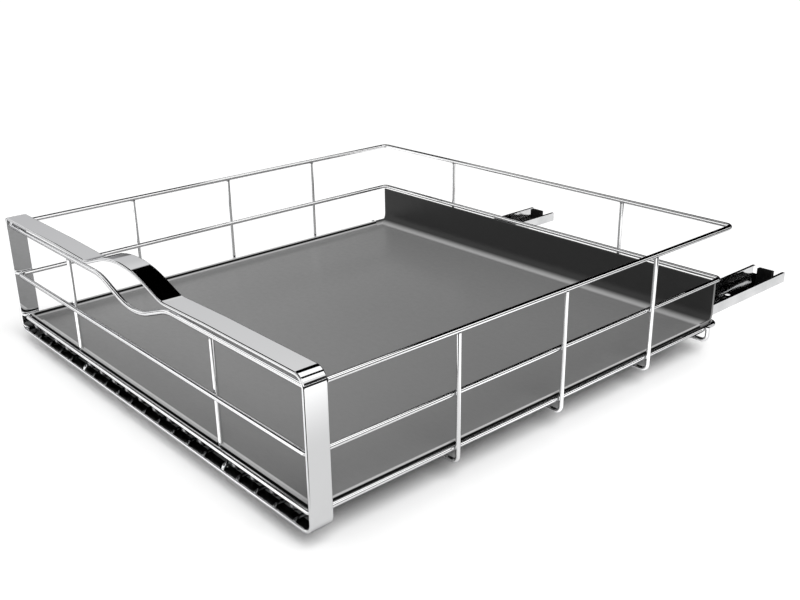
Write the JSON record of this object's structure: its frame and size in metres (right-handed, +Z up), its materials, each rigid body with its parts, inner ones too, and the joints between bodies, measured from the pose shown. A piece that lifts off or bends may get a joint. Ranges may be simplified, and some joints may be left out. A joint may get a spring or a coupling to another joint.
{
  "type": "pull-out cabinet basket",
  "caption": "Chromed wire pull-out basket with an arched strap handle and a plastic liner tray, on a pair of ball-bearing slides.",
  "frame": {"origin": "on the cabinet floor under the middle of the whole object, with the basket drawn part of the way out", "axes": "+Y runs back into the cabinet, -Y is the way the basket pulls out, +X is to the right seen from the front, +Z is up"},
  "size_m": [0.51, 0.738, 0.154],
  "materials": {
    "chrome": "polished",
    "zinc": "bright zinc plated",
    "liner": "fine-grained charcoal grey",
    "bumper": "matt black",
    "screw": "zinc plated",
    "cage": "pressed strip",
    "ball": "polished"
  },
  "bodies": {
    "rails": {"cabinet_member_left": "zinc", "cabinet_member_right": "zinc", "end_bumper_left": "bumper", "end_bumper_right": "bumper"},
    "basket": {"front_frame": "chrome", "handle_wire": "chrome", "middle_ring": "chrome", "bottom_ring": "chrome", "top_rail": "chrome", "cross_wire_front": "chrome", "cross_wire_middle": "chrome", "cross_wire_rear": "chrome", "cross_wire_short": "chrome", "long_wire_left": "chrome", "long_wire_right": "chrome", "floor_wire_1": "chrome", "floor_wire_2": "chrome", "floor_wire_3": "chrome", "floor_wire_4": "chrome", "floor_wire_5": "chrome", "floor_wire_6": "chrome", "floor_wire_7": "chrome", "floor_wire_8": "chrome", "floor_wire_9": "chrome", "floor_wire_10": "chrome", "floor_wire_11": "chrome", "floor_wire_12": "chrome", "floor_wire_13": "chrome", "floor_wire_14": "chrome", "floor_wire_15": "chrome", "floor_wire_16": "chrome", "floor_wire_17": "chrome", "liner_tray": "liner", "saddles_left": "zinc", "saddles_right": "zinc", "saddle_screws_left": "screw", "saddle_screws_right": "screw", "drawer_member_left": "zinc", "drawer_member_right": "zinc"},
    "middle_left": {"middle_member_left": "zinc"},
    "outer_cage_body_left": {"outer_cage_left": "cage", "outer_balls_left": "ball"},
    "inner_cage_body_left": {"inner_cage_left": "cage", "inner_balls_left": "ball"},
    "middle_right": {"middle_member_right": "zinc"},
    "outer_cage_body_right": {"outer_cage_right": "cage", "outer_balls_right": "ball"},
    "inner_cage_body_right": {"inner_cage_right": "cage", "inner_balls_right": "ball"}
  },
  "joints": [
    {"name": "basket_slide", "type": "slide", "parent": "rails", "child": "basket", "axis": [0, -1, 0], "range_m": [-0.18, 0.3]},
    {"name": "middle_slide_left", "type": "slide", "parent": "rails", "child": "middle_left", "axis": [0, -1, 0], "range_m": [-0.09, 0.15]},
    {"name": "outer_cage_slide_left", "type": "slide", "parent": "rails", "child": "outer_cage_body_left", "axis": [0, -1, 0], "range_m": [-0.045, 0.075]},
    {"name": "inner_cage_slide_left", "type": "slide", "parent": "rails", "child": "inner_cage_body_left", "axis": [0, -1, 0], "range_m": [-0.135, 0.225]},
    {"name": "middle_slide_right", "type": "slide", "parent": "rails", "child": "middle_right", "axis": [0, -1, 0], "range_m": [-0.09, 0.15]},
    {"name": "outer_cage_slide_right", "type": "slide", "parent": "rails", "child": "outer_cage_body_right", "axis": [0, -1, 0], "range_m": [-0.045, 0.075]},
    {"name": "inner_cage_slide_right", "type": "slide", "parent": "rails", "child": "inner_cage_body_right", "axis": [0, -1, 0], "range_m": [-0.135, 0.225]}
  ],
  "couplings": [
    {"joint": "middle_slide_left", "follows": "basket_slide", "ratio": 0.5},
    {"joint": "outer_cage_slide_left", "follows": "basket_slide", "ratio": 0.25},
    {"joint": "inner_cage_slide_left", "follows": "basket_slide", "ratio": 0.75},
    {"joint": "middle_slide_right", "follows": "basket_slide", "ratio": 0.5},
    {"joint": "outer_cage_slide_right", "follows": "basket_slide", "ratio": 0.25},
    {"joint": "inner_cage_slide_right", "follows": "basket_slide", "ratio": 0.75}
  ]
}
